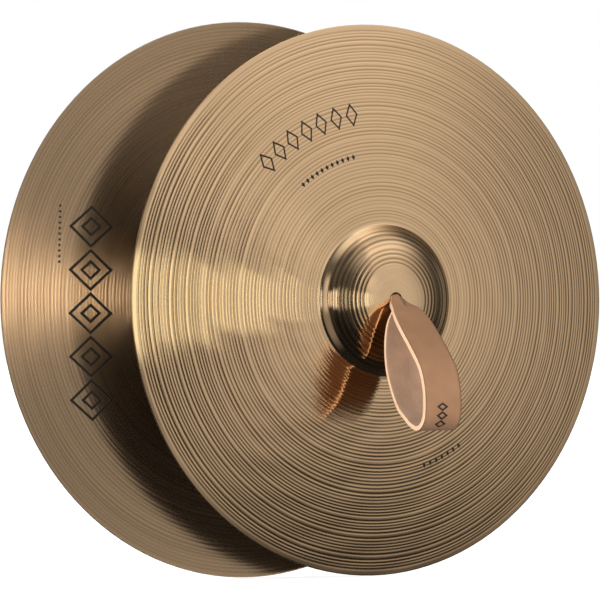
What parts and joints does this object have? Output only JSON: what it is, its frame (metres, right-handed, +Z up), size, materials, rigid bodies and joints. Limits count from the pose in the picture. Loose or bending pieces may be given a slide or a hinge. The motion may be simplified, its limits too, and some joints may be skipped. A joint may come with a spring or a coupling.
{
  "type": "hand cymbals",
  "caption": "Pair of large thin bronze orchestral crash plates with raised bells, each held by a wide leather strap loop woven into a knot inside the bell.",
  "frame": {"origin": "centre of the front cymbal's strap hole, on the outer face of its bell", "axes": "+Y along the cymbals' axes from the front cymbal to the rear one, +Z up, +X to the right seen from the front; both discs stand upright"},
  "size_m": [0.622, 0.2798, 0.508],
  "materials": {
    "bronze": "lathed, fine concentric grooves",
    "strap_leather": "natural vegetable-tanned, raw cut edges"
  },
  "bodies": {
    "front_cymbal": {"front_cymbal": "bronze"},
    "front_knot": {"front_strap_tail_1": "strap_leather", "front_strap_tail_2": "strap_leather", "front_strap_tail_3": "strap_leather", "front_strap_tail_4": "strap_leather"},
    "front_loop": {"front_strap_loop": "strap_leather"},
    "rear_cymbal": {"rear_cymbal": "bronze"},
    "rear_knot": {"rear_strap_tail_1": "strap_leather", "rear_strap_tail_2": "strap_leather", "rear_strap_tail_3": "strap_leather", "rear_strap_tail_4": "strap_leather"},
    "rear_loop": {"rear_strap_loop": "strap_leather"}
  },
  "joints": [
    {"name": "front_strap_turn", "type": "hinge", "parent": "front_cymbal", "child": "front_knot", "pos_m": [0, 0, 0], "axis": [0, 1, 0], "continuous": true},
    {"name": "front_strap_swing", "type": "hinge", "parent": "front_knot", "child": "front_loop", "pos_m": [0, -0.0052, 0], "axis": [1, 0, 0], "range_deg": [-118, 8]},
    {"name": "crash_stroke", "type": "slide", "parent": "front_cymbal", "child": "rear_cymbal", "axis": [0, 1, 0], "range_m": [-0.0317, 0.25]},
    {"name": "rear_strap_turn", "type": "hinge", "parent": "rear_cymbal", "child": "rear_knot", "pos_m": [-0.114, 0.1132, 0], "axis": [0, 1, 0], "continuous": true},
    {"name": "rear_strap_swing", "type": "hinge", "parent": "rear_knot", "child": "rear_loop", "pos_m": [-0.114, 0.1184, 0], "axis": [1, 0, 0], "range_deg": [-8, 118]}
  ]
}
